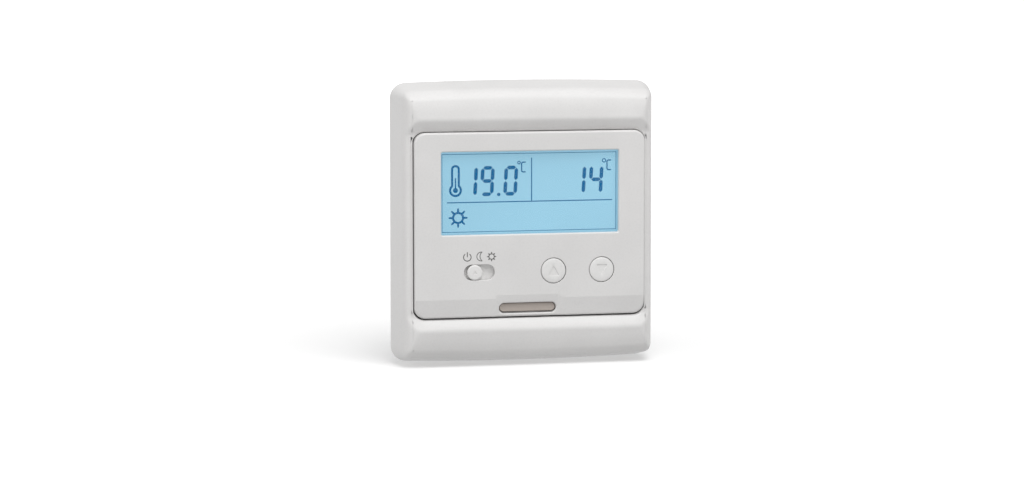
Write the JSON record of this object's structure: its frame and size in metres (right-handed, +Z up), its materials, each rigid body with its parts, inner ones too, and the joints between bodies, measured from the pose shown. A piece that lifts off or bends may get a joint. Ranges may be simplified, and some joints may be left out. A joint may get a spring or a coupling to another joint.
{
  "type": "wall thermostat",
  "caption": "Flush wall thermostat: bowed white frame round a front cover with a lit display, up and down buttons, a mode slider and a release slot, with a rear housing for a wall box.",
  "frame": {"origin": "midway between the two wall-box screw slots, in the plane of the wall's surface", "axes": "+X to the right seen from the front, +Y into the wall, +Z up; the front faces -Y"},
  "size_m": [0.086, 0.043, 0.091],
  "materials": {
    "white_plastic": "fine moulded grain",
    "clear_window": "clear, polished",
    "display_glass": "polished, pale blue when lit",
    "light_guide_acrylic": "frosted",
    "led_resin": "clear resin",
    "strip_rubber": "matte",
    "board_laminate": "lacquered",
    "chip_black": "matte",
    "bright_metal": "satin",
    "zinc_steel": "galvanised",
    "pin_brass": "plated",
    "warm_grey_plastic": "matte",
    "housing_plastic": "matte",
    "terminal_plastic": "matte",
    "relay_plastic": "satin",
    "film_plastic": "satin",
    "sleeve_plastic": "glossy sleeve",
    "varistor_lacquer": "dipped lacquer",
    "fuse_body": "glazed"
  },
  "bodies": {
    "base": {"mounting_plate": "zinc_steel", "base_housing": "housing_plastic", "base_cover": "housing_plastic", "base_screws": "bright_metal", "base_socket": "chip_black", "power_board": "board_laminate", "relay": "relay_plastic", "film_capacitor": "film_plastic", "bridge_rectifier": "chip_black", "large_capacitor": "sleeve_plastic", "small_capacitor": "sleeve_plastic", "varistor": "varistor_lacquer", "fuse": "fuse_body", "terminal_block": "terminal_plastic", "terminal_clamps": "pin_brass", "terminal_screws": "bright_metal"},
    "frame": {"outer_frame": "white_plastic"},
    "front": {"front_cover": "white_plastic", "display_window": "clear_window", "lcd_front_glass": "display_glass", "lcd_rear_glass": "display_glass", "light_guide": "light_guide_acrylic", "backlight_leds": "led_resin", "elastomer_connector": "strip_rubber", "lcd_holder": "white_plastic", "control_board": "board_laminate", "microcontroller": "chip_black", "crystal": "bright_metal", "backup_capacitor": "bright_metal", "air_sensor": "chip_black", "board_components": "chip_black", "up_switch_body": "chip_black", "down_switch_body": "chip_black", "slide_switch_body": "bright_metal", "front_backplate": "white_plastic", "backplate_screws": "bright_metal", "header_body": "chip_black", "header_pins": "pin_brass"},
    "up_key": {"up_button": "white_plastic", "up_switch_plunger": "chip_black"},
    "down_key": {"down_button": "white_plastic", "down_switch_plunger": "chip_black"},
    "slider": {"slider_knob": "white_plastic", "slide_switch_actuator": "chip_black"},
    "latch": {"release_latch": "warm_grey_plastic"}
  },
  "joints": [
    {"name": "front_pull", "type": "slide", "parent": "base", "child": "front", "axis": [0, -1, 0], "range_m": [0, 0.03]},
    {"name": "frame_lift", "type": "slide", "parent": "base", "child": "frame", "axis": [0, -1, 0], "range_m": [0, 0.015]},
    {"name": "up_press", "type": "slide", "parent": "front", "child": "up_key", "axis": [0, 1, 0], "range_m": [0, 0.0005], "stiffness_N_per_m": 2000, "springref_m": -0.0005},
    {"name": "down_press", "type": "slide", "parent": "front", "child": "down_key", "axis": [0, 1, 0], "range_m": [0, 0.0005], "stiffness_N_per_m": 2000, "springref_m": -0.0005},
    {"name": "mode_slide", "type": "slide", "parent": "front", "child": "slider", "axis": [1, 0, 0], "range_m": [0, 0.003]},
    {"name": "latch_press", "type": "slide", "parent": "front", "child": "latch", "axis": [0, 1, 0], "range_m": [0, 0.0008], "stiffness_N_per_m": 1500, "springref_m": -0.0005}
  ],
  "couplings": [
    {"joint": "frame_lift", "follows": "front_pull", "ratio": 0.5}
  ]
}
